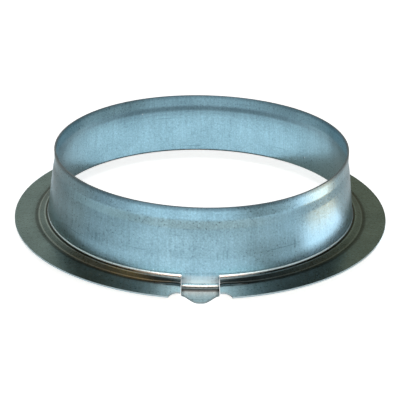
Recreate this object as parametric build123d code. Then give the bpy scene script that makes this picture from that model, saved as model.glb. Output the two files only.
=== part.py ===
from build123d import *
import os

# Furnace duct collar, drawn and pressed from one round blank of galvanised sheet steel.
# Millimetres, +Z up along the duct. The origin is on the duct's axis, level with the underside
# of the locking tongue, the lowest point. The tongue points along -Y.

# Driving dimensions
sheet = 0.6               # thickness of the steel
rim_diameter = 99.7       # outside of the straight band at the rim, a slide fit in a 4 in duct
band_height = 4.2         # the straight band, measured down from the rim
step_out = 0.55           # how far the wall steps out below the band, on the radius
step_height = 2.8         # height that the step takes
step_bend = 4.0           # radius of the step's two soft bends
wall_spread = 1.8         # how far the wall widens from the step to its foot, on the radius
wall_height = 23.5        # rim above the top of the flange
wall_bend = 0.7           # bend radius between the wall and the ring at its foot
ring_height = 1.0         # crest of the raised ring above the top of the flange
ring_top_width = 1.05     # from the wall to the ring's crest
ring_slope_width = 2.75   # from the crest out to the fold where the flat flange starts
ring_bend = 1.5           # bend radius at the crest and at the fold
flange_width = 7.5        # flat of the flange, from the fold to its edge
tongue_width = 11.8       # from slit to slit
slit_width = 0.3          # clearance on each side of the tongue
slit_rise = 1.0           # how far the slits run up the wall past the ring's crest
casing_gap = 1.9          # room between flange and tongue for the furnace casing
tongue_bend = 1.6         # bend radius at the root of the tongue
tongue_setback = 1.8      # how far the tongue's tip stays inside the flange's edge
nose_length = 5.2         # from the tongue's shoulders to its tip
nose_tip_width = 3.2      # flat of the nose before its corners are rounded
nose_round = 2.0          # radius of the nose's corners
flank_radius = 14.0       # hollow of the nose's two flanks
notch_radius = 3.8        # half-round relief in the flange's edge at the end of each slit

# Levels above the underside of the tongue
tongue_top = sheet
flange_bottom = tongue_top + casing_gap
flange_top = flange_bottom + sheet
ring_top = flange_top + ring_height
slit_root = ring_top + slit_rise
rim_top = flange_top + wall_height
band_bottom = rim_top - band_height
step_bottom = band_bottom - step_height

# Radii of the upper, outer face of the sheet
rim_radius = rim_diameter / 2
step_radius = rim_radius + step_out
foot_radius = step_radius + wall_spread
crest_radius = foot_radius + ring_top_width
fold_radius = crest_radius + ring_slope_width
flange_radius = fold_radius + flange_width
tip_radius = flange_radius - tongue_setback
shoulder_radius = tip_radius - nose_length

# The wall below the step is a cone. It keeps its slope where it runs on down to the tongue.
wall_slope = wall_spread / (step_bottom - ring_top)
root_radius = foot_radius + wall_slope * (ring_top - tongue_top)
overlap_radius = foot_radius - wall_slope * (slit_rise + sheet)


def turned_sheet(outer_points, bends):
    """Turn the sheet about the duct's axis. Its outer face follows (radius, height) points."""
    outer_face = FilletPolyline(*outer_points, radius=bends)
    section = Face(outer_face.offset_2d(sheet, side=Side.RIGHT))
    return revolve(Plane.XZ * section, Axis.Z)


def turned_collar():
    """Rim band, step, tapered wall, raised ring and flat flange, as drawn before the slits are cut."""
    outer_points = [
        (rim_radius, rim_top),
        (rim_radius, band_bottom),
        (step_radius, step_bottom),
        (foot_radius, ring_top),
        (crest_radius, ring_top),
        (fold_radius, flange_top),
        (flange_radius, flange_top),
    ]
    return turned_sheet(outer_points, [step_bend, step_bend, wall_bend, ring_bend, ring_bend])


def tongue_window():
    """What the two slits free from the flange, up to the root of the slits in the wall."""
    width = tongue_width + 2 * slit_width
    window = Box(width, flange_radius, slit_root, align=(Align.CENTER, Align.MAX, Align.MIN))
    return Pos(0, -rim_radius / 2, 0) * window


def relief_notches():
    """Half-round cuts in the flange's edge, one at the outer end of each slit."""
    slit_middle = (tongue_width + slit_width) / 2
    punch = Cylinder(notch_radius, flange_top, align=(Align.CENTER, Align.CENTER, Align.MIN))
    return [Pos(side * slit_middle, -flange_radius, 0) * punch for side in (-1, 1)]


def tongue_outline():
    """Plan of the tongue: parallel sides, square shoulders and a nose with hollow flanks."""
    side = tongue_width / 2
    nose = nose_tip_width / 2
    outline = [
        Polyline((-nose, -tip_radius), (nose, -tip_radius)),
        RadiusArc((nose, -tip_radius), (side, -shoulder_radius), flank_radius),
        Polyline((side, -shoulder_radius), (side, 0), (-side, 0), (-side, -shoulder_radius)),
        RadiusArc((-side, -shoulder_radius), (-nose, -tip_radius), flank_radius),
    ]
    plan = make_face(outline)
    tip_corners = plan.vertices().group_by(Axis.Y)[0]
    return fillet(tip_corners, nose_round)


def locking_tongue():
    """The wall carried on down through the flange and bent out below it."""
    outer_points = [
        (overlap_radius, slit_root + sheet),
        (root_radius, tongue_top),
        (flange_radius, tongue_top),
    ]
    lowered_sheet = turned_sheet(outer_points, [tongue_bend])
    return lowered_sheet & extrude(tongue_outline(), slit_root)


duct_collar = turned_collar() - tongue_window() - relief_notches() + locking_tongue()

os.makedirs("parts", exist_ok=True)
export_step(duct_collar, "parts/duct_collar.step")
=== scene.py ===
# %% [markdown]
# # A furnace duct collar
# The collar joins a round warm-air duct to the sheet casing of a furnace. It is one piece of
# galvanised steel: a press draws a round blank up into a short wall, flattens the rest into a
# flange, and lances one tongue that locks the collar to the casing.
#
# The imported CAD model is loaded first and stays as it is. Everything here is in metres, in the
# same frame, and what is modelled below only takes the CAD solid's place in the picture.

# %% Load the frame
import math

import bmesh
import bpy
import numpy as np
from mathutils import Matrix, Vector


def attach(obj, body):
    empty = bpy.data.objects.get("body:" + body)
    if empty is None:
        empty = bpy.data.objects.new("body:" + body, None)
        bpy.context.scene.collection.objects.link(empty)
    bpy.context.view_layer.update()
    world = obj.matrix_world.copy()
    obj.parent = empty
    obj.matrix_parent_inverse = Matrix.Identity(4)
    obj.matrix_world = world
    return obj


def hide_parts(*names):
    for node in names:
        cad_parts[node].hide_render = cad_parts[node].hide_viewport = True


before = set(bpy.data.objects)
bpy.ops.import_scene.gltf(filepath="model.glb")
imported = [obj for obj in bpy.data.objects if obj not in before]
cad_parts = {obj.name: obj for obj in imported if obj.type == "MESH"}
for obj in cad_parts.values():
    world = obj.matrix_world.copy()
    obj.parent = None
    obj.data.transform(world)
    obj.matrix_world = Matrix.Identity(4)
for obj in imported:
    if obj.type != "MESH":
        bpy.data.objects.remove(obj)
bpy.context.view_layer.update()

MM = 0.001

# %% [markdown]
# ## Helpers
# A node tree is easier to read in a script when each node is one call. `add` makes a node, sets
# its properties, and then links or sets its inputs. `linear` turns a colour as a web page writes
# it, sRGB in hex, into the linear values that Blender's shaders work with.


# %% Helpers for node trees and colours
def add(tree, kind, inputs=None, **settings):
    """Add one node with its settings and links, and return its outputs."""
    made = tree.nodes.new(kind)
    for name, value in settings.items():
        setattr(made, name, value)
    for key, value in (inputs or {}).items():
        if isinstance(value, bpy.types.NodeSocket):
            tree.links.new(value, made.inputs[key])
        else:
            made.inputs[key].default_value = value
    return made.outputs


def linear(hex_colour):
    """Linear RGBA of an sRGB colour such as "#8fa0a8"."""
    channels = [int(hex_colour[i:i + 2], 16) / 255 for i in (1, 3, 5)]
    return [c / 12.92 if c <= 0.04045 else ((c + 0.055) / 1.055) ** 2.4 for c in channels] + [1.0]


def new_material(name):
    """A node material with an empty tree, and the tree."""
    material = bpy.data.materials.new(name)
    material.use_nodes = True
    material.node_tree.nodes.clear()
    return material, material.node_tree


print("linear mid grey:", [round(c, 3) for c in linear("#808080")])

# %% [markdown]
# ## Galvanised steel: where its patterns lie
# The finish is hot-dipped zinc with a thin blue passivation, dulled by handling: a cool satin
# metal, never a mirror. Three kinds of coordinates carry its marks. Zinc grain and blotches don't
# care how the sheet was formed, so they use Object coordinates. Marks from the press follow the
# sheet, so they use the sheet's own UV map, laid out in metres: round the rim from the tongue's
# middle, and down from the rim. Three face attributes, stored further below, mark the inner face,
# the tongue and the sheared edge.

# %% Coordinates of the finish
steel, tree = new_material("galvanised_steel")
place = add(tree, "ShaderNodeTexCoord")["Object"]
chart = add(tree, "ShaderNodeUVMap", uv_map="UVMap")[0]
round_rim, down, _ = add(tree, "ShaderNodeSeparateXYZ", {0: chart})
from_front = add(tree, "ShaderNodeMath", {0: round_rim}, operation="ABSOLUTE")[0]
inner = add(tree, "ShaderNodeAttribute", attribute_name="inner_face")["Fac"]
tongue = add(tree, "ShaderNodeAttribute", attribute_name="tongue")["Fac"]
sheared = add(tree, "ShaderNodeAttribute", attribute_name="cut_edge")["Fac"]
outer = add(tree, "ShaderNodeMath", {0: 1.0, 1: inner}, operation="SUBTRACT")[0]
off_tongue = add(tree, "ShaderNodeMath",
                 {0: outer, 1: tongue}, operation="SUBTRACT", use_clamp=True)[0]
print("coordinates:", place.name, chart.name)
print("attributes:", [mark.node.attribute_name for mark in (inner, tongue, sheared)])

# %% [markdown]
# ## Galvanised steel: grain, blotches and draw lines
# Zinc freezes in fine grains, and its reflectance drifts over a centimetre or so. When the punch
# draws the wall up, the die drags fine lines along it. The real grain is about 0.1 mm and the
# lines are finer still. Both are drawn several times coarser here, because a pixel of the picture
# is 0.3 mm wide.

# %% Fine patterns, with their sizes in mm, and how far each swings the brightness
GRAIN = 0.55
BLOTCH = 12.0
DRAW_LINE = (0.8, 18.0)
grain = add(tree, "ShaderNodeTexNoise",
            {"Vector": place, "Scale": 1 / (GRAIN * MM), "Detail": 1.0})[0]
blotch = add(tree, "ShaderNodeTexNoise",
             {"Vector": place, "Scale": 1 / (BLOTCH * MM), "Detail": 3.0})[0]
lines_at = add(tree, "ShaderNodeMapping",
               {"Vector": chart, "Scale": (1 / (DRAW_LINE[0] * MM), 1 / (DRAW_LINE[1] * MM), 1)})[0]
draw_line = add(tree, "ShaderNodeTexNoise", {"Vector": lines_at, "Scale": 1.0, "Detail": 2.0})[0]
shade = 1.0
for pattern, swing in ((grain, 0.8), (blotch, 0.34), (draw_line, 0.36)):
    centred = add(tree, "ShaderNodeMath", {0: pattern, 1: 0.5}, operation="SUBTRACT")[0]
    shade = add(tree, "ShaderNodeMath",
                {0: centred, 1: swing, 2: shade}, operation="MULTIPLY_ADD")[0]
print("nodes so far:", len(tree.nodes))

# %% [markdown]
# ## Galvanised steel: painted shade and reflections along the sheet
# Each set of stripes round the collar lies at its own distance from the rim, so a Color Ramp that
# runs along the sheet can hold it. Four of the ramps hold brightness, and all of it is painted
# light and shade. Outside, painted shade darkens the rim, pale and dark stripes on the wall are
# painted reflections of the room, and painted shade lies in the crease at the wall's foot, on the
# ring's slope and in the flange's fold. Inside, the rim is darkened too, a dark stripe lies on the
# soft step at the back, and the sides get a painted shade, darker and warmer. The tongue has a ramp
# of its own, with painted shade where its bend ends and a little below. The other four ramps hold
# the amount of a painted highlight or a painted shade.

# %% Stops of the ramps, as distance from the rim in mm and value
SHEET_RUN = 36.0
# Four brightness ramps of painted shade and reflections, then four of painted highlights and shade
RAMPS = {
    "outside": ((0.0, 0.40), (0.5, 0.55), (1.6, 0.97), (3.6, 0.97), (5.4, 0.82), (6.8, 0.84),
                (8.6, 0.88), (11.0, 0.97), (15.6, 0.90), (18.0, 1.0), (21.4, 1.0), (21.7, 0.6),
                (21.9, 0.6), (22.1, 1.0), (23.6, 1.0), (24.0, 0.75), (25.2, 0.75), (25.7, 0.95),
                (26.1, 0.35), (26.6, 0.4), (27.4, 0.9), (29.0, 1.0), (36.0, 1.0)),
    "inside": ((0.0, 0.45), (0.6, 0.62), (1.4, 0.81), (3.4, 0.80), (4.5, 0.36), (5.2, 0.36),
               (6.6, 0.72), (9.0, 0.94), (12.0, 1.0), (21.0, 0.94), (36.0, 0.85)),
    "side": ((0.0, 0.40), (0.6, 0.55), (1.6, 0.86), (9.0, 0.84), (36.0, 0.82)),
    "tongue": ((0.0, 1.0), (26.5, 1.0), (26.9, 0.11), (28.0, 0.15), (29.0, 0.70), (36.0, 0.76)),
    "painted_highlight_lines": ((0.0, 0.0), (21.9, 0.0), (22.1, 1.0), (22.4, 1.0), (22.55, 0.0), (23.3, 0.0),
               (23.5, 1.0), (23.7, 0.0), (25.3, 0.0), (25.55, 0.8), (25.8, 0.0), (36.0, 0.0)),
    "painted_groove_shade": ((0.0, 0.0), (22.45, 0.0), (22.6, 1.0), (23.1, 1.0), (23.3, 0.0), (36.0, 0.0)),
    "painted_slope_shade": ((0.0, 0.0), (23.5, 0.0), (23.9, 1.0), (25.6, 1.0), (26.2, 0.7), (27.0, 0.0),
              (36.0, 0.0)),
    "painted_tongue_highlight": ((0.0, 0.0), (21.7, 0.0), (23.0, 0.45), (24.3, 0.85), (24.6, 0.85), (25.0, 0.0),
                (36.0, 0.0)),
}
PLAIN = (1.0, 1.0, 1.0)
# Warm tints of the inside ramps' painted shade
TINTS = {"inside": (1.0, 0.98, 0.95), "side": (1.0, 0.96, 0.91)}
print("stops:", {name: len(stops) for name, stops in RAMPS.items()})

# %% Ramps along the sheet
SIDE_TO_BACK = (92.0, 140.0)
share_down = add(tree, "ShaderNodeMath",
                 {0: down, 1: 1 / (SHEET_RUN * MM)}, operation="MULTIPLY")[0]
painted_light_ramps = {}
for name, stops in RAMPS.items():
    painted_light_ramps[name] = add(tree, "ShaderNodeValToRGB", {"Fac": share_down})[0]
    ramp = painted_light_ramps[name].node.color_ramp
    ramp.interpolation = "EASE"
    while len(ramp.elements) < len(stops):
        ramp.elements.new(0.5)
    for stop, (distance, value) in zip(ramp.elements, stops):
        stop.position = distance / SHEET_RUN
        stop.color = [value * tint for tint in TINTS.get(name, PLAIN)] + [1.0]
# The back of the bore gets the dark stripe on the step, the sides their painted shade
at_back = add(tree, "ShaderNodeMapRange",
              {"Value": from_front,
               "From Min": SIDE_TO_BACK[0] * MM, "From Max": SIDE_TO_BACK[1] * MM},
              interpolation_type="SMOOTHSTEP")[0]
inside = add(tree, "ShaderNodeMix",
             {0: at_back, 6: painted_light_ramps["side"], 7: painted_light_ramps["inside"]}, data_type="RGBA")[2]
bands = add(tree, "ShaderNodeMix",
            {0: tongue, 6: painted_light_ramps["outside"], 7: painted_light_ramps["tongue"]}, data_type="RGBA")[2]
bands = add(tree, "ShaderNodeMix", {0: inner, 6: bands, 7: inside}, data_type="RGBA")[2]
print("nodes so far:", len(tree.nodes))

# %% [markdown]
# ## Galvanised steel: painted highlights and shade on the ring and the tongue
# The ring at the wall's foot is where the press works hardest. Its bends carry thin painted
# highlights: pale lines at the wall's foot, on the crest and low on the slope, and the one at the
# foot is made matt so that it lights up evenly round the ring. A near-black painted shade fills the
# hollow between the foot and the crest. Beside the slits that hollow gets a painted highlight
# instead, and the ring's slope a painted shade. Above its bend the tongue has a painted highlight.
# Each one fades in or out with a distance: from the tongue's middle round the rim, or down from
# the rim.

# %% Marks that fade between two distances in mm, down to a least share
FADES = {
    "off the slits": (from_front, 9.0, 22.0, 0.0),
    "near the slits": (from_front, 38.0, 14.0, 0.0),
    "before the far right": (round_rim, 66.0, 40.0, 0.15),
    "at the foot": (down, 23.2, 22.9, 0.0),
}
fade = {}
for name, (distance, start, end, least) in FADES.items():
    fade[name] = add(tree, "ShaderNodeMapRange",
                     {"Value": distance,
                      "From Min": start * MM, "From Max": end * MM, "To Min": least})[0]
# Painted shade in the hollow at the wall's foot, away from the slits; beside them the same hollow
# gets a painted highlight
painted_groove_shade = add(tree, "ShaderNodeMath",
             {0: painted_light_ramps["painted_groove_shade"], 1: fade["off the slits"]}, operation="MULTIPLY")[0]
slit_painted_highlight = add(tree, "ShaderNodeMath", {0: painted_light_ramps["painted_groove_shade"], 1: painted_groove_shade}, operation="SUBTRACT")[0]
painted_highlight_lines = add(tree, "ShaderNodeMath",
             {0: painted_light_ramps["painted_highlight_lines"], 1: slit_painted_highlight}, operation="ADD", use_clamp=True)[0]
painted_highlight_lines = add(tree, "ShaderNodeMath",
             {0: painted_highlight_lines, 1: fade["before the far right"]}, operation="MULTIPLY")[0]
# Painted shade on the ring's slope beside the slits
painted_slope_shade = add(tree, "ShaderNodeMath",
            {0: painted_light_ramps["painted_slope_shade"], 1: fade["near the slits"]}, operation="MULTIPLY")[0]
painted_groove_shade, painted_highlight_lines, painted_slope_shade = [
    add(tree, "ShaderNodeMath", {0: mark, 1: off_tongue}, operation="MULTIPLY")[0]
    for mark in (painted_groove_shade, painted_highlight_lines, painted_slope_shade)
]
# The painted highlight at the wall's foot, away from the slits
matt_painted_highlight = add(tree, "ShaderNodeMath", {0: painted_highlight_lines, 1: fade["off the slits"]}, operation="MULTIPLY")[0]
matt_painted_highlight = add(tree, "ShaderNodeMath", {0: matt_painted_highlight, 1: fade["at the foot"]}, operation="MULTIPLY")[0]
# Painted highlight on the tongue above its bend
painted_tongue_highlight = add(tree, "ShaderNodeMath", {0: painted_light_ramps["painted_tongue_highlight"], 1: tongue}, operation="MULTIPLY")[0]
print("nodes so far:", len(tree.nodes))

# %% [markdown]
# ## Galvanised steel: ticks, scratches and specks
# Three kinds of damage break up the satin. Short dark ticks stand side by side in a belt round
# the wall, where a worn die picked at the zinc. A few long scratches run nearly level. Here and
# there a speck of dross catches the light. Each is a noise cut off near its peaks, so only rare
# spots are left.

# %% Ticks in a belt, with their sizes in mm
TICK = (1.0, 30.0)
TICK_CUT = (0.56, 0.70)
CROWD = 10.0
CROWD_CUT = (0.50, 0.62)
BELT_MIDDLE = 15.6
BELT_FADE = (2.0, 1.2)
tick_at = add(tree, "ShaderNodeMapping",
              {"Vector": chart, "Scale": (1 / (TICK[0] * MM), 1 / (TICK[1] * MM), 1)})[0]
tick = add(tree, "ShaderNodeTexNoise", {"Vector": tick_at, "Scale": 1.0, "Detail": 0.0})[0]
tick = add(tree, "ShaderNodeMapRange",
           {"Value": tick, "From Min": TICK_CUT[0], "From Max": TICK_CUT[1]})[0]
crowd = add(tree, "ShaderNodeTexNoise",
            {"Vector": place, "Scale": 1 / (CROWD * MM), "Detail": 0.0})[0]
crowd = add(tree, "ShaderNodeMapRange",
            {"Value": crowd, "From Min": CROWD_CUT[0], "From Max": CROWD_CUT[1]})[0]
off_belt = add(tree, "ShaderNodeMath", {0: down, 1: BELT_MIDDLE * MM}, operation="SUBTRACT")[0]
off_belt = add(tree, "ShaderNodeMath", {0: off_belt}, operation="ABSOLUTE")[0]
belt = add(tree, "ShaderNodeMapRange",
           {"Value": off_belt, "From Min": BELT_FADE[0] * MM, "From Max": BELT_FADE[1] * MM},
           interpolation_type="SMOOTHSTEP")[0]
ticks = outer
for share in (tick, crowd, belt):
    ticks = add(tree, "ShaderNodeMath", {0: ticks, 1: share}, operation="MULTIPLY")[0]
print("nodes so far:", len(tree.nodes))

# %% Level scratches and bright specks, with their sizes in mm
SCRATCH = (26.0, 0.5)
SCRATCH_LEAN = 0.05
SCRATCH_CUT = (0.76, 0.84)
SPECK = 7.0
SPECK_CUT = (0.05, 0.03)
scratch_at = add(tree, "ShaderNodeMapping",
                 {"Vector": chart, "Rotation": (0, 0, SCRATCH_LEAN),
                  "Scale": (1 / (SCRATCH[0] * MM), 1 / (SCRATCH[1] * MM), 1)})[0]
scratch = add(tree, "ShaderNodeTexNoise", {"Vector": scratch_at, "Scale": 1.0, "Detail": 0.0})[0]
scratch = add(tree, "ShaderNodeMapRange",
              {"Value": scratch, "From Min": SCRATCH_CUT[0], "From Max": SCRATCH_CUT[1]})[0]
speck = add(tree, "ShaderNodeTexVoronoi", {"Vector": place, "Scale": 1 / (SPECK * MM)})["Distance"]
speck = add(tree, "ShaderNodeMapRange",
            {"Value": speck, "From Min": SPECK_CUT[0], "From Max": SPECK_CUT[1]})[0]
print("nodes so far:", len(tree.nodes))

# %% [markdown]
# ## Galvanised steel: the shader
# A metal has no diffuse colour: what the eye sees is the room, tinted by the base colour and
# blurred by the roughness. So all the marks and the painted light above change the base colour,
# and the grain also changes the roughness and the slope of the surface. The sheared edge is torn
# rather than rolled, so it scatters part of the light like a matt surface, and the painted
# highlight at the wall's foot is made partly matt too, so that it lights up evenly: their Metallic
# is lower.

# %% Colour of the steel
ZINC = ("#88adbd", "#97bbca")
# Ticks, scratches, specks and the sheared edge are the steel's own colours; the other four are a
# painted highlight on the tongue, painted shade on the slope and in the hollow, painted highlights
MARKS = (
    (ticks, "#5d7f8c", 0.55), (scratch, "#587886", 0.6), (speck, "#dceaf0", 0.8),
    (painted_tongue_highlight, "#e6f0f4", 0.85), (sheared, "#aec4ce", 1.0), (painted_slope_shade, "#39484e", 0.85),
    (painted_groove_shade, "#1c2022", 0.9), (painted_highlight_lines, "#d6f0fc", 1.0),
)
zinc = add(tree, "ShaderNodeMix",
           {0: blotch, 6: linear(ZINC[0]), 7: linear(ZINC[1])}, data_type="RGBA")[2]
zinc = add(tree, "ShaderNodeMix",
           {0: 1.0, 6: zinc, 7: shade}, data_type="RGBA", blend_type="MULTIPLY")[2]
for mark, colour, strength in MARKS:
    amount = add(tree, "ShaderNodeMath", {0: mark, 1: strength}, operation="MULTIPLY")[0]
    zinc = add(tree, "ShaderNodeMix", {0: amount, 6: zinc, 7: linear(colour)}, data_type="RGBA")[2]
zinc = add(tree, "ShaderNodeMix",
           {0: 1.0, 6: zinc, 7: bands}, data_type="RGBA", blend_type="MULTIPLY")[2]
print("marks on the zinc:", len(MARKS))

# %% Gloss, relief and the finished material, with sizes in mm
GRAIN_SPREAD = (0.3, 0.7)
ROUGHNESS = (0.27, 0.35)
EDGE_ROUGHER = 0.15
# The sheared edge and the painted highlight at the wall's foot are partly matt
MATT = ((sheared, 0.8), (matt_painted_highlight, 0.7))
DENT = (14.0, 0.25)
LINE_RELIEF = 0.6
RELIEF = 0.012
dull = add(tree, "ShaderNodeMapRange",
           {"Value": grain, "From Min": GRAIN_SPREAD[0], "From Max": GRAIN_SPREAD[1],
            "To Min": ROUGHNESS[0], "To Max": ROUGHNESS[1]})[0]
dull = add(tree, "ShaderNodeMath",
           {0: sheared, 1: EDGE_ROUGHER, 2: dull}, operation="MULTIPLY_ADD")[0]
metal = 1.0
for mark, share in MATT:
    metal = add(tree, "ShaderNodeMath", {0: mark, 1: -share, 2: metal}, operation="MULTIPLY_ADD")[0]
dent = add(tree, "ShaderNodeTexNoise",
           {"Vector": place, "Scale": 1 / (DENT[0] * MM), "Detail": 0.0})[0]
dented = add(tree, "ShaderNodeBump", {"Height": dent, "Strength": 1.0, "Distance": DENT[1] * MM})[0]
relief = add(tree, "ShaderNodeMath",
             {0: draw_line, 1: LINE_RELIEF, 2: grain}, operation="MULTIPLY_ADD")[0]
rough = add(tree, "ShaderNodeBump",
            {"Height": relief, "Strength": 1.0, "Distance": RELIEF * MM, "Normal": dented})[0]
shader = add(tree, "ShaderNodeBsdfPrincipled",
             {"Base Color": zinc, "Metallic": metal, "Roughness": dull, "Normal": rough})[0]
add(tree, "ShaderNodeOutputMaterial", {"Surface": shader})
print("galvanised steel:", len(tree.nodes), "nodes")

# %% [markdown]
# ## The profile that is turned
# Every part of the collar but the tongue is one profile carried round the axis, so its corners
# say nearly all of the shape: a straight band at the rim, a soft step out of 0.55 mm, a wall that
# widens towards its foot, a low raised ring and the flat flange. The slit root is a point on the
# straight wall: it puts a row of vertices exactly where the tongue's slits will end.

# %% Corners of the profile, as radius and height in mm, with the bend at each
CORNERS = {
    "Rim": (49.85, 26.6, 0.0),
    "Band foot": (49.85, 22.4, 4.0),
    "Step foot": (50.4, 19.6, 4.0),
    "Slit root": (52.0839, 5.1, 0.0),
    "Wall foot": (52.2, 4.1, 0.9),
    "Ring crest": (53.25, 4.05, 1.3),
    "Flange fold": (56.0, 3.1, 1.5),
    "Flange edge": (63.5, 3.1, 0.0),
}
print("profile corners:", len(CORNERS))

# %% [markdown]
# ## Where the columns of the mesh stand
# A turned mesh usually has evenly spaced columns. Here the slits and the notches beside the
# tongue need columns on their own edges, so the angles are listed: even steps across the
# tongue, one step over each slit, steps that follow the notch's arc, and even steps round the
# rest. Angle 0 is the middle of the tongue, at the front.

# %% Column angles, laid out flat along X as on an unrolled blank
TONGUE_HALF = 5.9
NOTCH_CENTRE = 6.05
NOTCH_RADIUS = 3.8
FOOT_RADIUS, FOOT_HEIGHT, _ = CORNERS["Wall foot"]
FLANGE_RADIUS = CORNERS["Flange edge"][0]
TONGUE_COLUMNS = 14
SLIT_COLUMN = TONGUE_COLUMNS + 1
NOTCH_TURN = (2.27, 78.3)
NOTCH_COLUMNS = 17
REST_COLUMNS = 208

notch_turns = np.radians(np.linspace(*NOTCH_TURN, NOTCH_COLUMNS))
half_widths = np.concatenate([
    np.linspace(0, TONGUE_HALF, TONGUE_COLUMNS + 1),
    NOTCH_CENTRE + NOTCH_RADIUS * np.sin(notch_turns),
])
near = np.arcsin(half_widths / FOOT_RADIUS)
far = np.linspace(near[-1], math.pi, REST_COLUMNS)[1:]
half_turn = np.concatenate([near, far])
angles = np.concatenate([-half_turn[:0:-1], half_turn])
FRONT = len(half_turn) - 1

blank = bpy.data.meshes.new("unrolled_columns")
blank.from_pydata([(a, 0, 0) for a in angles], [], [])
collar_sheet = bpy.data.objects.new("collar_sheet", blank)
bpy.context.scene.collection.objects.link(collar_sheet)
print("columns:", len(angles), "front column:", FRONT)

# %% [markdown]
# ## Turning the profile with Geometry Nodes
# A modifier could turn a drawn curve, but a node tree keeps the sizes open: it gets a named input
# for each corner and bend, so the profile can be changed in the modifier panel without touching a
# node.

# %% The tree and its named inputs
ROW_SPACING = 0.9
sheet_tree = bpy.data.node_groups.new("turned_sheet", "GeometryNodeTree")
sheet_tree.interface.new_socket("Geometry", in_out="INPUT", socket_type="NodeSocketGeometry")
inputs = {}
for name, (radius, height, bend) in CORNERS.items():
    socket = sheet_tree.interface.new_socket(name, in_out="INPUT", socket_type="NodeSocketVector")
    inputs[socket.identifier] = (radius * MM, height * MM, 0.0)
    socket = sheet_tree.interface.new_socket(
        name + " bend", in_out="INPUT", socket_type="NodeSocketFloat")
    inputs[socket.identifier] = bend * MM
for name, value in (("Row spacing", ROW_SPACING), ("Foot radius", FOOT_RADIUS)):
    socket = sheet_tree.interface.new_socket(name, in_out="INPUT", socket_type="NodeSocketFloat")
    inputs[socket.identifier] = value * MM
socket = sheet_tree.interface.new_socket("Steel", in_out="INPUT", socket_type="NodeSocketMaterial")
inputs[socket.identifier] = steel
sheet_tree.interface.new_socket("Geometry", in_out="OUTPUT", socket_type="NodeSocketGeometry")
sizes = add(sheet_tree, "NodeGroupInput")
print("named inputs:", len(inputs))

# %% [markdown]
# The tree has two halves. The first draws the profile: one point for each corner, joined to a
# curve, rounded with Fillet Curve, and cut into rows where a straight run is long.

# %% Nodes for the profile
BEND_STEPS = 7


def profile_nodes(tree, sizes):
    """Nodes that draw the rounded profile from the named corners."""
    index = add(tree, "GeometryNodeInputIndex")[0]
    switches = {}
    for kind in ("VECTOR", "FLOAT"):
        switches[kind] = add(tree, "GeometryNodeIndexSwitch", data_type=kind)[0].node
        for _ in range(len(CORNERS) - 2):
            switches[kind].index_switch_items.new()
        tree.links.new(index, switches[kind].inputs[0])
    for i, name in enumerate(CORNERS):
        tree.links.new(sizes[name], switches["VECTOR"].inputs[i + 1])
        tree.links.new(sizes[name + " bend"], switches["FLOAT"].inputs[i + 1])
    points = add(tree, "GeometryNodePoints", {"Count": len(CORNERS)})[0]
    placed = add(tree, "GeometryNodeSetPosition",
                 {"Geometry": points, "Position": switches["VECTOR"].outputs[0]})[0]
    line = add(tree, "GeometryNodePointsToCurves", {"Points": placed})[0]
    rounded = add(tree, "GeometryNodeFilletCurve",
                  {"Curve": line, "Count": BEND_STEPS, "Radius": switches["FLOAT"].outputs[0]},
                  mode="POLY")[0]
    reach = add(tree, "GeometryNodeSplineParameter")["Length"]
    following = add(tree, "ShaderNodeMath", {0: index, 1: 1.0}, operation="ADD")[0]
    next_reach = add(tree, "GeometryNodeFieldAtIndex", {"Index": following, "Value": reach})[0]
    run = add(tree, "ShaderNodeMath", {0: next_reach, 1: reach}, operation="SUBTRACT")[0]
    cuts = add(tree, "ShaderNodeMath", {0: run, 1: sizes["Row spacing"]}, operation="DIVIDE")[0]
    return add(tree, "GeometryNodeSubdivideCurve", {"Curve": rounded, "Cuts": cuts})[0], reach


profile, reach = profile_nodes(sheet_tree, sizes)
print("nodes for the profile:", len(sheet_tree.nodes))

# %% [markdown]
# The second half makes a flat grid with one vertex for each row and column and moves every vertex
# to its place on the turned sheet. Near the tongue the columns run straight back instead of
# fanning out, because a slit is a straight cut. The rows and columns are kept as attributes, to
# find vertices by later, and the UV map is laid out in metres for the steel's press marks.

# %% Nodes for the turn
FAN_FROM = math.radians(45)
SEAM = 0.001


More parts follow.
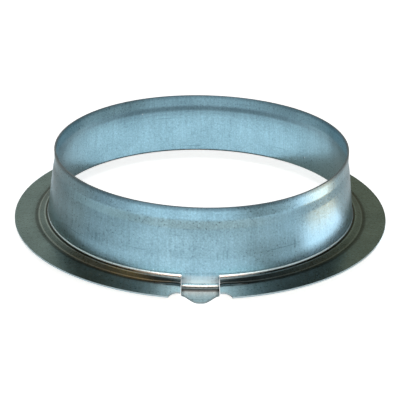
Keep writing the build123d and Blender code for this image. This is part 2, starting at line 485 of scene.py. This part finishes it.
def turning_nodes(tree, sizes, profile, reach):
    """Nodes that carry the profile round the axis, one column for each point of the blank."""
    blank_points = sizes["Geometry"]
    rows = add(tree, "GeometryNodeAttributeDomainSize", {"Geometry": profile}, component="CURVE")[0]
    columns = add(tree, "GeometryNodeAttributeDomainSize",
                  {"Geometry": blank_points}, component="MESH")[0]
    grid = add(tree, "GeometryNodeMeshGrid", {"Vertices X": columns, "Vertices Y": rows})[0]
    index = add(tree, "GeometryNodeInputIndex")[0]
    row = add(tree, "ShaderNodeMath", {0: index, 1: rows}, operation="MODULO")[0]
    share = add(tree, "ShaderNodeMath", {0: index, 1: rows}, operation="DIVIDE")[0]
    column = add(tree, "ShaderNodeMath", {0: share}, operation="FLOOR")[0]
    position = add(tree, "GeometryNodeInputPosition")[0]
    corner = add(tree, "GeometryNodeSampleIndex",
                 {"Geometry": profile, "Value": position, "Index": row},
                 data_type="FLOAT_VECTOR")[0]
    spot = add(tree, "ShaderNodeSeparateXYZ", {0: corner})
    length = add(tree, "GeometryNodeSampleIndex",
                 {"Geometry": profile, "Value": reach, "Index": row})[0]
    laid = add(tree, "GeometryNodeSampleIndex",
               {"Geometry": blank_points, "Value": position, "Index": column},
               data_type="FLOAT_VECTOR")[0]
    angle = add(tree, "ShaderNodeSeparateXYZ", {0: laid})[0]
    across = add(tree, "ShaderNodeMath", {0: angle}, operation="SINE")[0]
    cosine = add(tree, "ShaderNodeMath", {0: angle}, operation="COSINE")[0]
    along = add(tree, "ShaderNodeMath", {0: cosine, 1: -1.0}, operation="MULTIPLY")[0]
    fanned = add(tree, "ShaderNodeCombineXYZ", {0: across, 1: along})[0]
    width = add(tree, "ShaderNodeMath",
                {0: across, 1: sizes["Foot radius"]}, operation="MULTIPLY")[0]
    lean = add(tree, "ShaderNodeMath", {0: width, 1: spot[0]}, operation="DIVIDE")[0]
    square = add(tree, "ShaderNodeMath", {0: lean, 1: lean, 2: -1.0}, operation="MULTIPLY_ADD")[0]
    positive = add(tree, "ShaderNodeMath", {0: square}, operation="ABSOLUTE")[0]
    root = add(tree, "ShaderNodeMath", {0: positive}, operation="SQRT")[0]
    straight_along = add(tree, "ShaderNodeMath", {0: root, 1: -1.0}, operation="MULTIPLY")[0]
    straight = add(tree, "ShaderNodeCombineXYZ", {0: lean, 1: straight_along})[0]
    front_share = add(tree, "ShaderNodeMapRange",
                      {"Value": cosine,
                       "From Min": math.cos(FAN_FROM), "From Max": math.cos(near[-1])},
                      interpolation_type="SMOOTHSTEP")[0]
    direction = add(tree, "ShaderNodeMix",
                    {0: front_share, 4: fanned, 5: straight}, data_type="VECTOR")[1]
    unit = add(tree, "ShaderNodeVectorMath", {0: direction}, operation="NORMALIZE")[0]
    height = add(tree, "ShaderNodeCombineXYZ", {2: spot[1]})[0]
    place = add(tree, "ShaderNodeVectorMath",
                {0: unit, 1: spot[0], 2: height}, operation="MULTIPLY_ADD")[0]
    turned = add(tree, "GeometryNodeSetPosition", {"Geometry": grid, "Position": place})[0]
    round_length = add(tree, "ShaderNodeMath",
                       {0: angle, 1: sizes["Foot radius"]}, operation="MULTIPLY")[0]
    chart = add(tree, "ShaderNodeCombineXYZ", {0: round_length, 1: length})[0]
    chart = add(tree, "GeometryNodeFieldOnDomain",
                {0: chart}, data_type="FLOAT_VECTOR", domain="POINT")[0]
    kept = (("row", "INT", "POINT", row), ("column", "INT", "POINT", column),
            ("UVMap", "FLOAT2", "CORNER", chart))
    for name, kind, domain, value in kept:
        turned = add(tree, "GeometryNodeStoreNamedAttribute",
                     {"Geometry": turned, "Name": name, "Value": value},
                     data_type=kind, domain=domain)[0]
    return add(tree, "GeometryNodeMergeByDistance", {"Geometry": turned, "Distance": SEAM * MM})[0]


turned = turning_nodes(sheet_tree, sizes, profile, reach)
realized = add(sheet_tree, "GeometryNodeRealizeInstances", {"Geometry": turned})[0]
finished = add(sheet_tree, "GeometryNodeSetMaterial",
               {"Geometry": realized, "Material": sizes["Steel"]})[0]
add(sheet_tree, "NodeGroupOutput", {"Geometry": finished})
print("nodes in the turned sheet's tree:", len(sheet_tree.nodes))

# %% [markdown]
# ## Turning the sheet
# The modifier's inputs are set by identifier before the object is evaluated. What it makes is
# then copied to a plain mesh, because the slits and the tongue are cut by hand from here on.

# %% Turn the sheet
turning = collar_sheet.modifiers.new("turned_sheet", "NODES")
turning.node_group = sheet_tree
for identifier, value in inputs.items():
    turning[identifier] = value
depsgraph = bpy.context.evaluated_depsgraph_get()
sheet_mesh = bpy.data.meshes.new_from_object(collar_sheet.evaluated_get(depsgraph))
collar_sheet.modifiers.remove(turning)
collar_sheet.data = sheet_mesh
print("turned sheet:", len(sheet_mesh.vertices), "vertices,", len(sheet_mesh.polygons), "faces")

# %% [markdown]
# ## Lancing: slits and notches
# A punch shears the flange along two slits, from a little way up the wall to a half-round relief
# notch in the edge. A boolean could cut them, but it leaves slivers that shade badly. The mesh
# already has columns where the cuts run, so faces are deleted between them, and the flange's rows
# are drawn in to the notch. A shear leaves hardly any gap, so the slits' sides are then closed
# up, most of all at the wall.

# %% Cuts in the flange
CREST_RADIUS = CORNERS["Ring crest"][0]
FOLD_RADIUS = CORNERS["Flange fold"][0]
SLIT_ROOT = CORNERS["Slit root"][1]
SLIT_GAP = (0.04, 0.10)
SAME_HEIGHT = 0.001


def cut_window(work, row, column, root_row):
    """Remove the flange between the slits, from their root in the wall to the edge."""
    inside = {v for v in work.verts if abs(v[column] - FRONT) <= SLIT_COLUMN and v[row] >= root_row}
    window = [face for face in work.faces if inside.issuperset(face.verts)]
    bmesh.ops.delete(work, geom=window, context="FACES")
    return len(window)


def cut_notches(work):
    """Draw the flange's edge in to a half-round notch at the end of each slit."""
    for v in work.verts:
        x, y = abs(v.co.x) / MM, v.co.y / MM
        reach_in = NOTCH_RADIUS ** 2 - (x - NOTCH_CENTRE) ** 2
        if y > 0 or reach_in <= 0 or math.hypot(x, y) <= FOLD_RADIUS:
            continue
        fold = -math.sqrt(FOLD_RADIUS ** 2 - x ** 2)
        edge = -math.sqrt(FLANGE_RADIUS ** 2 - x ** 2)
        notch = max(edge, -FLANGE_RADIUS + math.sqrt(reach_in))
        v.co.y = (fold + (y - fold) * (notch - fold) / (edge - fold)) * MM


def close_slits(work, row, column, root_row):
    """Move the slits' outer sides to the gap that a shear leaves."""
    for v in work.verts:
        if abs(v[column] - FRONT) == SLIT_COLUMN and v[row] >= root_row and v.co.y < 0:
            reach = math.hypot(v.co.x, v.co.y) / MM
            gap = np.interp(reach, (CREST_RADIUS, FOLD_RADIUS), SLIT_GAP)
            v.co.x = math.copysign((TONGUE_HALF + gap) * MM, v.co.x)


work = bmesh.new()
work.from_mesh(sheet_mesh)
row, column = work.verts.layers.int["row"], work.verts.layers.int["column"]
root_row = next(v[row] for v in work.verts if abs(v.co.z / MM - SLIT_ROOT) < SAME_HEIGHT)
print("faces in the window:", cut_window(work, row, column, root_row))
cut_notches(work)
close_slits(work, row, column, root_row)

# %% [markdown]
# ## Rolled edges and a rim that isn't quite round
# The punch drags the edges beside the slits down with it and draws the ring's crest out there,
# and the thin rim has been knocked about, so it leaves its circle by a few tenths of a
# millimetre. None of this is in the CAD model, which has the nominal sizes, but it shows in how
# the metal mirrors the room. Low waves round the rim are enough.

# %% Roll the sheared edges and bend the rim, with depths and reaches in mm
EDGE_ROLL = (0.22, 0.9)
CREST_PULL = (1.1, 7.0)
CREST_START = CREST_RADIUS - 0.2
RIM_HEIGHT = CORNERS["Rim"][1]
RING_TOP = CORNERS["Ring crest"][1]
FLANGE_TOP = CORNERS["Flange edge"][1]

# Each wave has its function, its count in a turn and its height
RIM_OUTWARD = ((math.cos, 0, -0.15), (math.cos, 1, 0.16), (math.sin, 1, 0.56), (math.cos, 2, -0.11))
RIM_UPWARD = ((math.cos, 1, 0.07), (math.sin, 1, 0.12), (math.cos, 2, 0.28), (math.sin, 2, 0.09),
              (math.cos, 3, 0.12))


def roll_edges(work):
    """Draw the ring's crest out beside the slits, and let the flange dip towards them."""
    for v in work.verts:
        reach = math.hypot(v.co.x, v.co.y) / MM
        from_slit = abs(v.co.x) / MM - TONGUE_HALF
        if v.co.y < 0 and from_slit > 0 and reach > FOOT_RADIUS:
            share = min(1.0, (reach - FOOT_RADIUS) / (CREST_RADIUS - FOOT_RADIUS)) ** 2
            pulled = reach - CREST_PULL[0] * math.exp(-(from_slit / CREST_PULL[1]) ** 2)
            if CREST_START < reach < FOLD_RADIUS:
                crest = np.interp(pulled, (CREST_RADIUS, FOLD_RADIUS), (RING_TOP, FLANGE_TOP))
                v.co.z = max(v.co.z / MM, crest) * MM
            v.co.z -= EDGE_ROLL[0] * share * math.exp(-(from_slit / EDGE_ROLL[1]) ** 2) * MM


def bend_rim(work):
    """Move the wall off its circle, fully at the rim and not at all at the slits' root."""
    for v in work.verts:
        rise = (v.co.z / MM - SLIT_ROOT) / (RIM_HEIGHT - SLIT_ROOT)
        if rise <= 0:
            continue
        share = rise * rise * (3 - 2 * rise)
        a = math.atan2(v.co.y, v.co.x)
        outward, upward = (sum(height * wave(count * a) for wave, count, height in waves)
                           for waves in (RIM_OUTWARD, RIM_UPWARD))
        v.co += Vector((outward * math.cos(a), outward * math.sin(a), upward)) * share * MM


roll_edges(work)
bend_rim(work)
rim_heights = [v.co.z / MM for v in work.verts if v[row] == 0]
print("rim now between", round(min(rim_heights), 2), "and", round(max(rim_heights), 2), "mm")

# %% [markdown]
# ## The locking tongue
# The strip between the slits isn't removed: it is the wall itself, carried on down through the
# flange and bent out below it, so that the casing's sheet is gripped between flange and tongue.
# It is made row by row from the wall's own vertices, first straight, then round the bend, then
# out to a nose with hollow flanks. The nose droops a little, and the sheared sides are rolled
# down like the flange's.

# %% The tongue's outline and path
TONGUE_TOP = 0.6
TONGUE_DROOP = 0.16
TONGUE_BEND = 1.3
SIDE_ROLL = (0.1, 0.9)
ROLL_START = 0.25
WALL_ROWS, BEND_ROWS, FLAT_ROWS = 5, 10, 12
TIP_RADIUS = 61.72
STEP_RADIUS, STEP_HEIGHT, _ = CORNERS["Step foot"]
WALL_SLOPE = (FOOT_RADIUS - STEP_RADIUS) / (STEP_HEIGHT - FOOT_HEIGHT)
NOSE_X = [0.47, 1.0, 1.5, 2.0, 2.5, 3.2, 4.0, 5.0, 5.9]
NOSE_R = [TIP_RADIUS, 61.7, 61.55, 61.2, 60.72, 59.95, 58.95, 57.85, 57.3]


def tongue_path():
    """Rows of the tongue's upper face from the slit root: radius, height, share of the flat."""
    level = TONGUE_TOP + TONGUE_DROOP
    slope = math.atan(WALL_SLOPE)
    turn = math.pi / 2 - slope
    trim = TONGUE_BEND * math.tan(turn / 2)
    centre = (FOOT_RADIUS + WALL_SLOPE * (FOOT_HEIGHT - level) + trim, level + TONGUE_BEND)
    bend_top = level + trim * math.cos(slope)
    wall = [(FOOT_RADIUS + WALL_SLOPE * (FOOT_HEIGHT - z), z, 0.0)
            for z in np.linspace(SLIT_ROOT, bend_top, WALL_ROWS + 1)[1:]]
    bend = []
    for t in np.linspace(0, turn, BEND_ROWS + 1)[1:]:
        a = math.pi + slope + t
        radius = centre[0] + TONGUE_BEND * math.cos(a)
        bend.append((radius, centre[1] + TONGUE_BEND * math.sin(a), 0.0))
    flat = [(centre[0], level, share) for share in np.linspace(0, 1, FLAT_ROWS + 1)[1:]]
    return wall + bend + flat


def tongue_point(x, radius, height, share):
    """Place of a tongue vertex at a width x, in mm."""
    r = radius + (np.interp(abs(x), NOSE_X, NOSE_R) - radius) * share
    out = (r - radius) / (TIP_RADIUS - radius)
    from_side = TONGUE_HALF - abs(x)
    dip = SIDE_ROLL[0] * math.exp(-(from_side / SIDE_ROLL[1]) ** 2) * min(1.0, share / ROLL_START)
    return x, -math.sqrt(r * r - x * x), height - TONGUE_DROOP * out * out - dip


print("rows in the tongue:", len(tongue_path()))

# %% [markdown]
# Each new row of vertices is joined to the one above it with a row of faces. Their UV map goes on
# from the wall's, so the finish runs on down the tongue without a break.


# %% Bend the tongue out of the wall
def bend_tongue(work, row, column, chart, root_row):
    """Carry the wall on down from the slits' root and out into the tongue, with its UV map."""
    root = [v for v in work.verts if v[row] == root_row and v.co.y < 0]
    upper = sorted((v for v in root if abs(v[column] - FRONT) <= TONGUE_COLUMNS),
                   key=lambda v: v[column])
    widths = [v.co.x / MM for v in upper]
    flat_at = {v: v.link_loops[0][chart].uv.copy() for v in upper}
    made = 0
    for radius, height, share in tongue_path():
        lower = [work.verts.new(Vector(tongue_point(x, radius, height, share)) * MM)
                 for x in widths]
        for above, below in zip(upper, lower):
            flat_at[below] = flat_at[above] + Vector((0, (below.co - above.co).length))
        for i in range(len(widths) - 1):
            face = work.faces.new((upper[i], lower[i], lower[i + 1], upper[i + 1]))
            for loop in face.loops:
                loop[chart].uv = flat_at[loop.vert]
            made += 1
        upper = lower
    return made


tongue_faces = bend_tongue(work, row, column, work.loops.layers.uv["UVMap"], root_row)
print("faces in the tongue:", tongue_faces)
bmesh.ops.recalc_face_normals(work, faces=work.faces)
work.to_mesh(sheet_mesh)
work.free()

# %% [markdown]
# ## Thickness
# The mesh so far is the sheet's outer face. Solidify grows the 0.6 mm of steel inwards from it,
# and Bevel rounds the sheared edges so that they catch a line of light. Solidify can give the
# inner shell and the rim other material slots. That is used here only to tell those faces apart
# later.

# %% Give the sheet its thickness
SHEET = 0.6
SLOTS = 3
EDGE_ROUND = 0.16
EDGE_STEPS = 3
EDGE_ANGLE = math.radians(50)
sheet_mesh.materials.clear()
for _ in range(SLOTS):
    sheet_mesh.materials.append(steel)
for face in sheet_mesh.polygons:
    face.use_smooth = True
wall = collar_sheet.modifiers.new("sheet", "SOLIDIFY")
wall.thickness = SHEET * MM
wall.offset = -1.0
wall.use_even_offset = True
wall.material_offset = 1
wall.material_offset_rim = 2
edge = collar_sheet.modifiers.new("edges", "BEVEL")
edge.width = EDGE_ROUND * MM
edge.segments = EDGE_STEPS
edge.limit_method = "ANGLE"
edge.angle_limit = EDGE_ANGLE
edge.harden_normals = True
depsgraph = bpy.context.evaluated_depsgraph_get()
collar_mesh = bpy.data.meshes.new_from_object(collar_sheet.evaluated_get(depsgraph))
collar_sheet.modifiers.clear()
collar_sheet.data = collar_mesh
collar_sheet.name = "pressed_collar"
collar_mesh.calc_loop_triangles()
print("collar vertices:", len(collar_mesh.vertices))
print("collar triangles:", len(collar_mesh.loop_triangles))

# %% [markdown]
# ## Marking the faces
# The slots become face attributes for the steel's shader, with a third for the tongue, and one
# material is left. The finished piece then takes the CAD solid's place in the frame.

# %% Mark the faces and hand the piece to the frame
kinds = np.zeros(len(collar_mesh.polygons), dtype=np.int32)
collar_mesh.polygons.foreach_get("material_index", kinds)
centres = np.array([face.center for face in collar_mesh.polygons]) / MM
across, along, height = centres.T
on_tongue = (abs(across) < TONGUE_HALF) & (along < 0) & (height < SLIT_ROOT)
for name, chosen in (("inner_face", kinds == 1), ("cut_edge", kinds == 2), ("tongue", on_tongue)):
    marks = collar_mesh.attributes.new(name, "FLOAT", "FACE")
    marks.data.foreach_set("value", chosen.astype(np.float32))
    print(name, int(chosen.sum()), "faces")
collar_mesh.polygons.foreach_set("material_index", np.zeros_like(kinds))
collar_mesh.materials.clear()
collar_mesh.materials.append(steel)
for name in ("row", "column"):
    collar_mesh.attributes.remove(collar_mesh.attributes[name])
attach(collar_sheet, "root")
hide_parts("duct_collar")

# %% [markdown]
# ## The floor
# White paper, wide enough that no view sees its end. The lamps light it only part of the way to
# white, and light of its own, for the camera and for reflections only, takes it the rest of the
# way. The camera sees it as a neutral white and the metal as a cooler one. The collar's shadow
# stays on it, faintly.

# %% White paper on the floor, with its width in metres
FLOOR_WIDTH = 40.0
FLOOR_GLOW = 0.78
paper, tree = new_material("white_paper")
seen = add(tree, "ShaderNodeLightPath")
shown = add(tree, "ShaderNodeMath",
            {0: seen["Is Camera Ray"], 1: seen["Is Glossy Ray"]}, operation="MAXIMUM")[0]
shown = add(tree, "ShaderNodeMath",
            {0: shown, 1: seen["Is Transmission Ray"]}, operation="MAXIMUM")[0]
lift = add(tree, "ShaderNodeMath", {0: shown, 1: FLOOR_GLOW}, operation="MULTIPLY")[0]
matt = add(tree, "ShaderNodeBsdfDiffuse", {"Color": linear("#f2f2f2")})[0]
tone = add(tree, "ShaderNodeMix",
           {0: seen["Is Camera Ray"], 6: linear("#ecf7ff"), 7: linear("#ffffff")},
           data_type="RGBA")[2]
glow = add(tree, "ShaderNodeEmission", {"Color": tone, "Strength": lift})[0]
both = add(tree, "ShaderNodeAddShader", {0: matt, 1: glow})[0]
add(tree, "ShaderNodeOutputMaterial", {"Surface": both})
bpy.ops.mesh.primitive_plane_add(size=FLOOR_WIDTH, location=(0, 0, 0))
floor = bpy.context.object
floor.name = "floor"
floor.data.materials.append(paper)
print("floor", tuple(floor.dimensions))

# %% [markdown]
# ## The room
# Zinc shows what stands round it, and here that is a dark room in a warm brown. It is why the
# flat flange and the ring look so much darker than the wall, which mirrors the white floor.

# %% A dark, warm room
scene = bpy.context.scene
scene.view_settings.view_transform = "Standard"
world = bpy.data.worlds.new("studio")
scene.world = world
world.use_nodes = True
tree = world.node_tree
tree.nodes.clear()
room = add(tree, "ShaderNodeBackground", {"Color": linear("#443823"), "Strength": 1.0})[0]
add(tree, "ShaderNodeOutputWorld", {"Surface": room})
print("room:", room.node.bl_idname)

# %% [markdown]
# ## Lamps
# Two soft boxes light the scene. The one overhead lights the floor, and a polarising sheet on it,
# here a switched-off ray, keeps it out of the reflections. The long, low one in front stands
# behind the camera: the bends at the foot of the wall and at the tongue pick it up as white
# lines.

# %% Soft boxes
LAMPS = {
    "overhead_softbox": dict(place=(0.0, 0.0, 1.0), aim=(0, 0, 0), size=(0.9, 0.9),
                             energy=5.0, colour="#ecf7ff", mirrored=False),
    "front_softbox": dict(place=(0.0, -0.9, 0.32), aim=(0, 0, 0.05), size=(1.8, 0.34),
                          energy=6.8, colour="#fff7ea", mirrored=True),
}


def aimed(thing, place, aim):
    """Put a lamp or a card at a place, with its face turned to the aim."""
    turn = (Vector(place) - Vector(aim)).to_track_quat("Z", "Y")
    thing.matrix_world = Matrix.Translation(place) @ turn.to_matrix().to_4x4()


for name, lamp in LAMPS.items():
    light = bpy.data.lights.new(name, "AREA")
    light.shape = "RECTANGLE"
    light.size, light.size_y = lamp["size"]
    light.energy = lamp["energy"]
    light.color = linear(lamp["colour"])[:3]
    holder = bpy.data.objects.new(name, light)
    scene.collection.objects.link(holder)
    holder.visible_glossy = lamp["mirrored"]
    aimed(holder, lamp["place"], lamp["aim"])
    print("lamp", name)

# %% [markdown]
# ## Reflector cards
# A photographer shapes metal with cards: each is a plain board that only reflections see. A warm
# one high in front is what the tongue mirrors, by way of the wall behind it, and a small amber
# one at the left puts golden lines on the ring. Two behind the collar tone the flange, and pale
# strips at the sides stand for the end of the paper.
#
# The other cards lie on the floor and face up. Grey ones shade the wall from outside and in the
# bore, a dark one far in front stands for the room beyond the paper, a dark ring under the flange
# is a painted shade standing for its gap, and two small bright ones put the glint on the wall's
# right.

# %% Cards, with their place, aim and size in metres
STANDING = {
    "key_card": dict(place=(0.0, -0.625, 0.647), aim=(0, 0, 0), size=(0.72, 0.48),
                     colour="#ffc4ac", strength=6.2),
    "amber_card": dict(place=(-0.33, 0.02, 0.66), aim=(0, 0, 0), size=(0.10, 0.10),
                       colour="#ffa24e", strength=11.0),
    "back_left_card": dict(place=(-0.6, 0.8, 0.42), aim=(-0.6, 0, 0.42), size=(1.2, 0.6),
                           colour="#b0a794"),
    "back_right_card": dict(place=(0.6, 0.8, 0.42), aim=(0.6, 0, 0.42), size=(1.2, 0.6),
                            colour="#8d8268"),
    "left_strip": dict(place=(-0.9, -0.1, 0.063), aim=(0, -0.1, 0.063), size=(1.6, 0.12),
                       colour="#fffbe0"),
    "right_strip": dict(place=(0.9, -0.1, 0.063), aim=(0, -0.1, 0.063), size=(1.6, 0.12),
                        colour="#ffffff"),
}
LYING = {
    "left_floor_card": dict(place=(-0.160, 0.055, 0.0004), size=(0.186, 0.19), colour="#b2aea8"),
    "right_floor_card": dict(place=(0.13, 0.05, 0.0004), size=(0.15, 0.22), colour="#d0cdc8"),
    "front_left_floor_card": dict(place=(-0.105, -0.065, 0.0006), size=(0.08, 0.06),
                                  colour="#a4a9ac"),
    "front_right_floor_card": dict(place=(0.060, -0.086, 0.0006), size=(0.05, 0.05),
                                   colour="#94958f"),
    "far_floor_card": dict(place=(0.0, -0.8, 0.0005), size=(1.6, 0.96), colour="#2c2721"),
    "bore_left_card": dict(place=(-0.0410, 0.012, 0.0004), size=(0.019, 0.056), colour="#8f8f8c"),
    "bore_right_card": dict(place=(0.0370, 0.018, 0.0004), size=(0.027, 0.056), colour="#9c9c94"),
    "near_glint_card": dict(place=(0.0745, -0.026, 0.0008), size=(0.028, 0.044),
                            colour="#f4f8ff", strength=3.0),
    "far_glint_card": dict(place=(0.098, -0.021, 0.0008), size=(0.018, 0.042),
                           colour="#ffc892", strength=4.2),
    # A dark ring on the floor under the flange: painted shade for the gap there
    "gap_shade_card": dict(place=(0, 0, 0.0003), ring=(0.0505, 0.0625), colour="#40382a"),
}
RING_STEPS = 96
HIDDEN_FROM = ("camera", "diffuse", "shadow", "transmission", "volume_scatter")


def board_shape(card):
    """Corners and faces of a card: a rectangle, or a ring between two radii."""
    if "ring" in card:
        turn = np.linspace(0, 2 * math.pi, RING_STEPS, endpoint=False)
        corners = [(r * math.cos(a), r * math.sin(a), 0) for r in card["ring"] for a in turn]
        following = [(i + 1) % RING_STEPS for i in range(RING_STEPS)]
        return corners, [(i, i + RING_STEPS, RING_STEPS + j, j) for i, j in enumerate(following)]
    w, h = (side / 2 for side in card["size"])
    return [(-w, -h, 0), (w, -h, 0), (w, h, 0), (-w, h, 0)], [(0, 1, 2, 3)]


for name, card in (STANDING | LYING).items():
    face, tree = new_material(name)
    glow = add(tree, "ShaderNodeEmission",
               {"Color": linear(card["colour"]), "Strength": card.get("strength", 1.0)})[0]
    add(tree, "ShaderNodeOutputMaterial", {"Surface": glow})
    corners, faces = board_shape(card)
    board_mesh = bpy.data.meshes.new(name)
    board_mesh.from_pydata(corners, [], faces)
    board_mesh.materials.append(face)
    board = bpy.data.objects.new(name, board_mesh)
    scene.collection.objects.link(board)
    below = (card["place"][0], card["place"][1], -1)
    aimed(board, card["place"], card.get("aim", below))
    for ray in HIDDEN_FROM:
        setattr(board, "visible_" + ray, False)
    print("card", name)

# %% [markdown]
# ## The camera
# The lens and the place were found by fitting the rim's and the flange's ellipses. The camera is
# turned and rolled by under a degree, because the photograph isn't quite level, and shifted only
# enough to frame the collar where it stands in the picture.

# %% Camera at the photograph's angle
ELEVATION = math.radians(24.93)
DISTANCE = 449.65
TURN = math.radians(-0.35)
ROLL = math.radians(0.82)
PICTURE_WIDTH = 400
FOCAL_PIXELS = 1302.6
SHIFT = (-0.0009, 0.0221)
lens = bpy.data.cameras.new("camera")
lens.sensor_width = 36.0
lens.lens = FOCAL_PIXELS / PICTURE_WIDTH * lens.sensor_width
lens.shift_x, lens.shift_y = SHIFT
lens.clip_start = 0.01
camera = bpy.data.objects.new("camera", lens)
scene.collection.objects.link(camera)
around = Matrix.Rotation(TURN, 4, "Z")
tilt = Matrix.Rotation(math.pi / 2 - ELEVATION, 4, "X")
roll = Matrix.Rotation(ROLL, 4, "Z")
back, up = DISTANCE * math.cos(ELEVATION), DISTANCE * math.sin(ELEVATION)
start = Vector((0, -back, FLANGE_TOP + up)) * MM
camera.matrix_world = around @ Matrix.Translation(start) @ tilt @ roll
scene.camera = camera
print("lens in mm:", round(lens.lens, 1))
